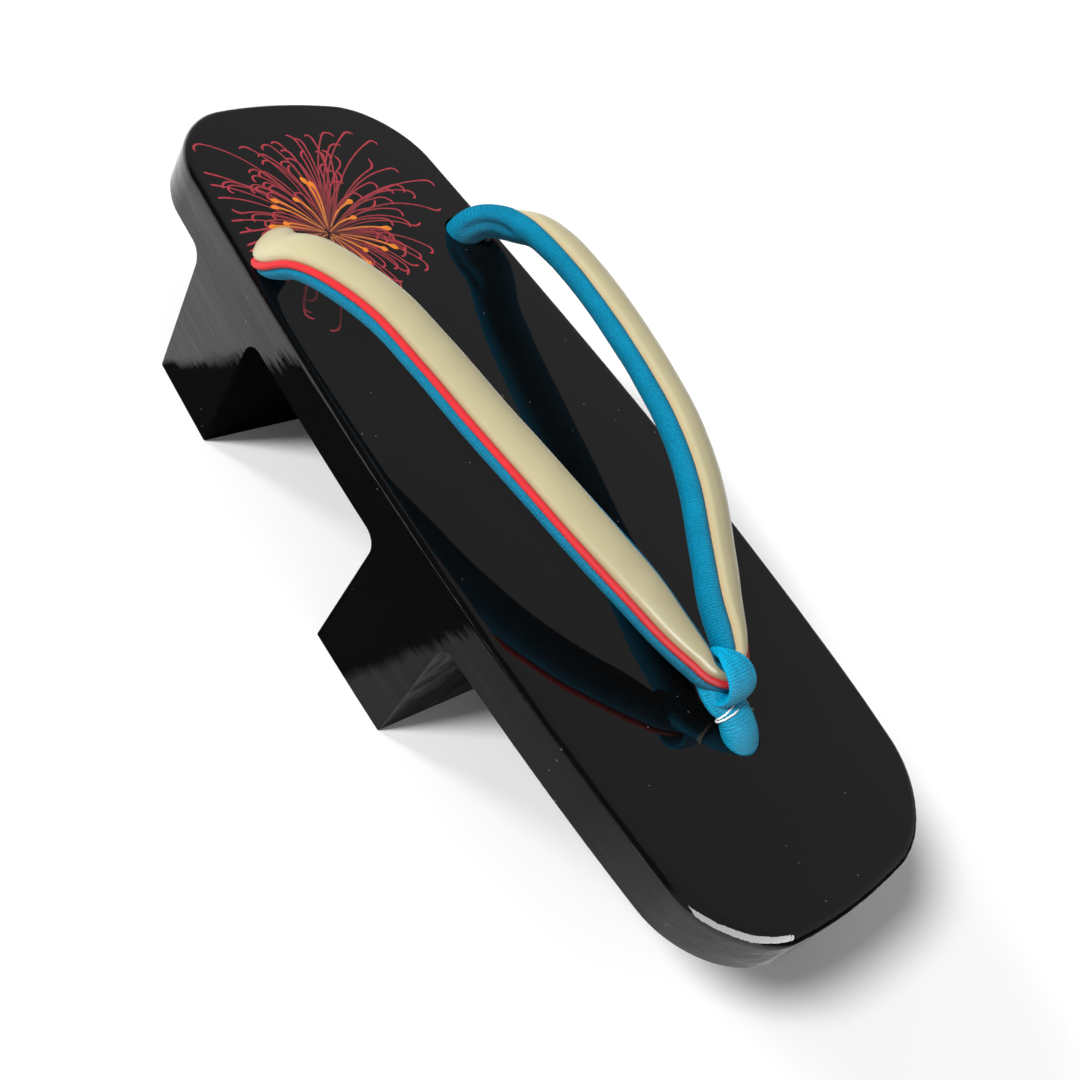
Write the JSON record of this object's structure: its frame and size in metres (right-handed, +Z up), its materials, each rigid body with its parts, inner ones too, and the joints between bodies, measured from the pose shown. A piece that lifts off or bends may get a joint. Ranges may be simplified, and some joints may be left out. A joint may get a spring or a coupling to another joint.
{
  "type": "geta sandal",
  "caption": "Wooden platform sandal carved with two cross teeth, black lacquer, with a padded V strap in cream, red and blue-green cloth.",
  "frame": {"origin": "centre of the sandal's footprint, on the ground under its two teeth", "axes": "+Y from heel to toe, +X to the wearer's right, +Z up"},
  "size_m": [0.086, 0.235, 0.073],
  "materials": {
    "lacquered_wood": "black gloss lacquer",
    "ribbed_cloth": "ribbed matt cloth",
    "satin": "satin",
    "red_cord": "matt cloth piping"
  },
  "bodies": {
    "root": {"sole_block": "lacquered_wood", "strap_lining": "ribbed_cloth", "strap_cover": "satin", "strap_piping": "red_cord", "toe_loop": "ribbed_cloth"}
  },
  "joints": []
}
